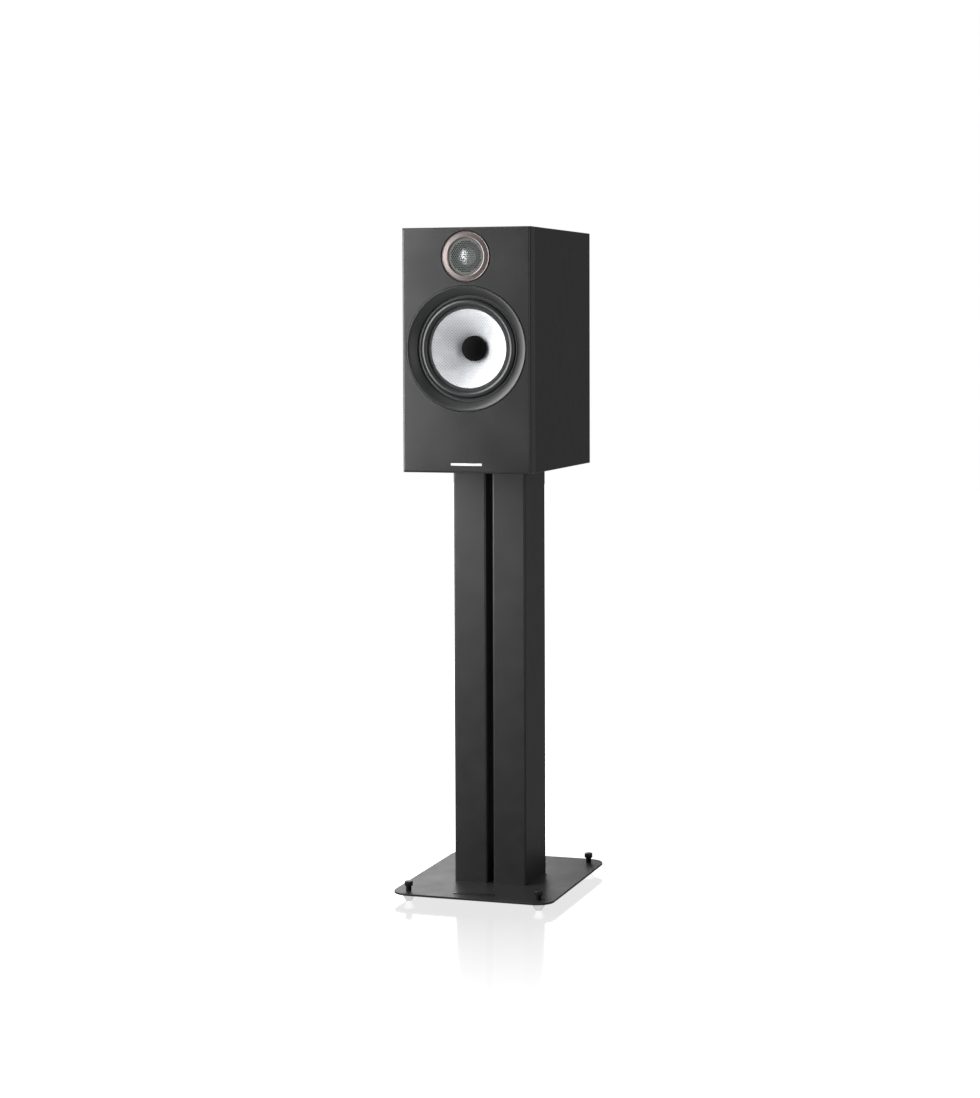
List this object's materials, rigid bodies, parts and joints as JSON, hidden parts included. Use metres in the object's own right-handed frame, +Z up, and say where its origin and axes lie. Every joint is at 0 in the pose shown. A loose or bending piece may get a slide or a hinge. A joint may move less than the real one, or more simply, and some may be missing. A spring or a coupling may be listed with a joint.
{
  "type": "bookshelf speaker",
  "caption": "Two-way loudspeaker with a woven bass cone, a tweeter behind a metal mesh and a rear port, on a floor stand with a pair of rectangular columns and screw feet.",
  "frame": {"origin": "on the floor, under the middle of the whole object's outline", "axes": "+Z up; the drivers face -Y and the terminals +Y; +X is to the right as seen from in front"},
  "size_m": [0.24, 0.3234, 0.965],
  "materials": {
    "cabinet_wrap": "black satin foil over fibreboard",
    "baffle_paint": "smooth black satin paint over fibreboard",
    "raw_board": "bare fibreboard",
    "foam": "open-cell foam",
    "light_plate": "satin",
    "black_moulding": "fine matt",
    "soft_rubber": "soft matt",
    "cone_weave": "silver woven composite",
    "cast_chassis": "cast, dark coat",
    "copper": "enamelled copper winding",
    "spider_cloth": "resin-treated cloth",
    "motor_steel": "turned, zinc plated",
    "ferrite": "sintered",
    "tinsel": "braided",
    "ring_metal": "anodised, turned",
    "mesh_steel": "black, perforated",
    "dome_metal": "bright",
    "dome_cloth": "coated cloth",
    "gilt": "gold plated",
    "red_moulding": "gloss",
    "black_gloss_moulding": "gloss",
    "circuit_board": "solder resist",
    "capacitor_sleeve": "shrink sleeve",
    "resistor_ceramic": "ceramic",
    "wire_sleeve": "insulated",
    "stand_coat": "fine-texture powder coat",
    "black_steel": "blackened",
    "polished_foot": "polished"
  },
  "bodies": {
    "stand_and_cabinet": {"cabinet_left_side": "cabinet_wrap", "cabinet_right_side": "cabinet_wrap", "cabinet_top": "cabinet_wrap", "cabinet_bottom": "cabinet_wrap", "front_baffle": "baffle_paint", "rear_panel": "cabinet_wrap", "window_brace": "raw_board", "damping_foam": "foam", "front_badge": "light_plate", "woofer_trim_ring": "black_moulding", "woofer_chassis": "cast_chassis", "woofer_gasket": "soft_rubber", "woofer_surround": "soft_rubber", "woofer_spider": "spider_cloth", "woofer_top_plate": "motor_steel", "woofer_magnet": "ferrite", "woofer_yoke": "motor_steel", "woofer_leads": "tinsel", "tweeter_trim_ring": "ring_metal", "tweeter_decoupling_ring": "soft_rubber", "tweeter_body": "black_moulding", "tweeter_mesh": "mesh_steel", "tweeter_surround": "dome_cloth", "tweeter_pole_piece": "motor_steel", "tweeter_magnet": "motor_steel", "tweeter_yoke": "motor_steel", "tweeter_tube": "black_moulding", "port_tube": "black_moulding", "terminal_panel": "black_moulding", "binding_posts": "gilt", "post_nuts": "gilt", "crossover_board": "circuit_board", "crossover_coils": "copper", "crossover_capacitors": "capacitor_sleeve", "crossover_resistors": "resistor_ceramic", "internal_wires": "wire_sleeve", "panel_screws": "motor_steel", "stand_top_plate": "stand_coat", "stand_column_left": "stand_coat", "stand_column_right": "stand_coat", "stand_base_plate": "stand_coat", "stand_badge": "black_moulding", "stand_bolts": "black_steel"},
    "woofer_moving": {"woofer_cone": "cone_weave", "woofer_plug": "foam", "woofer_voice_coil": "copper"},
    "tweeter_moving": {"tweeter_dome": "dome_metal", "tweeter_coil": "copper"},
    "red_post_washer": {"red_post_washer": "gilt"},
    "red_post_knob": {"red_post_knob": "red_moulding"},
    "black_post_washer": {"black_post_washer": "gilt"},
    "black_post_knob": {"black_post_knob": "black_gloss_moulding"},
    "leveller_foot_1": {"leveller_foot_1": "polished_foot"},
    "leveller_screw_1": {"leveller_screw_1": "black_steel"},
    "leveller_foot_2": {"leveller_foot_2": "polished_foot"},
    "leveller_screw_2": {"leveller_screw_2": "black_steel"},
    "leveller_foot_3": {"leveller_foot_3": "polished_foot"},
    "leveller_screw_3": {"leveller_screw_3": "black_steel"},
    "leveller_foot_4": {"leveller_foot_4": "polished_foot"},
    "leveller_screw_4": {"leveller_screw_4": "black_steel"}
  },
  "joints": [
    {"name": "woofer_stroke", "type": "slide", "parent": "stand_and_cabinet", "child": "woofer_moving", "axis": [0, -1, 0], "range_m": [-0.005, 0.005], "stiffness_N_per_m": 1100, "deforming": ["woofer_surround", "woofer_spider", "woofer_leads"]},
    {"name": "tweeter_stroke", "type": "slide", "parent": "stand_and_cabinet", "child": "tweeter_moving", "axis": [0, -1, 0], "range_m": [-0.0004, 0.0004], "stiffness_N_per_m": 700, "deforming": ["tweeter_surround"]},
    {"name": "red_knob_travel", "type": "slide", "parent": "stand_and_cabinet", "child": "red_post_washer", "axis": [0, 1, 0], "range_m": [0, 0.006]},
    {"name": "red_knob_turn", "type": "hinge", "parent": "red_post_washer", "child": "red_post_knob", "pos_m": [0.015, 0.15085, 0.695], "axis": [0, 1, 0], "range_deg": [0, 2160]},
    {"name": "black_knob_travel", "type": "slide", "parent": "stand_and_cabinet", "child": "black_post_washer", "axis": [0, 1, 0], "range_m": [0, 0.006]},
    {"name": "black_knob_turn", "type": "hinge", "parent": "black_post_washer", "child": "black_post_knob", "pos_m": [-0.015, 0.15085, 0.695], "axis": [0, 1, 0], "range_deg": [0, 2160]},
    {"name": "leveller_travel_1", "type": "slide", "parent": "stand_and_cabinet", "child": "leveller_foot_1", "axis": [0, 0, -1], "range_m": [0, 0.006]},
    {"name": "leveller_turn_1", "type": "hinge", "parent": "leveller_foot_1", "child": "leveller_screw_1", "pos_m": [-0.098, -0.13915, 0.012], "axis": [0, 0, -1], "range_deg": [0, 1728]},
    {"name": "leveller_travel_2", "type": "slide", "parent": "stand_and_cabinet", "child": "leveller_foot_2", "axis": [0, 0, -1], "range_m": [0, 0.006]},
    {"name": "leveller_turn_2", "type": "hinge", "parent": "leveller_foot_2", "child": "leveller_screw_2", "pos_m": [0.098, -0.13915, 0.012], "axis": [0, 0, -1], "range_deg": [0, 1728]},
    {"name": "leveller_travel_3", "type": "slide", "parent": "stand_and_cabinet", "child": "leveller_foot_3", "axis": [0, 0, -1], "range_m": [0, 0.006]},
    {"name": "leveller_turn_3", "type": "hinge", "parent": "leveller_foot_3", "child": "leveller_screw_3", "pos_m": [-0.098, 0.11685, 0.012], "axis": [0, 0, -1], "range_deg": [0, 1728]},
    {"name": "leveller_travel_4", "type": "slide", "parent": "stand_and_cabinet", "child": "leveller_foot_4", "axis": [0, 0, -1], "range_m": [0, 0.006]},
    {"name": "leveller_turn_4", "type": "hinge", "parent": "leveller_foot_4", "child": "leveller_screw_4", "pos_m": [0.098, 0.11685, 0.012], "axis": [0, 0, -1], "range_deg": [0, 1728]}
  ],
  "couplings": [
    {"joint": "red_knob_travel", "follows": "red_knob_turn", "m_per_rad": 0.00015915},
    {"joint": "black_knob_travel", "follows": "black_knob_turn", "m_per_rad": 0.00015915},
    {"joint": "leveller_travel_1", "follows": "leveller_turn_1", "m_per_rad": 0.00019894},
    {"joint": "leveller_travel_2", "follows": "leveller_turn_2", "m_per_rad": 0.00019894},
    {"joint": "leveller_travel_3", "follows": "leveller_turn_3", "m_per_rad": 0.00019894},
    {"joint": "leveller_travel_4", "follows": "leveller_turn_4", "m_per_rad": 0.00019894}
  ]
}
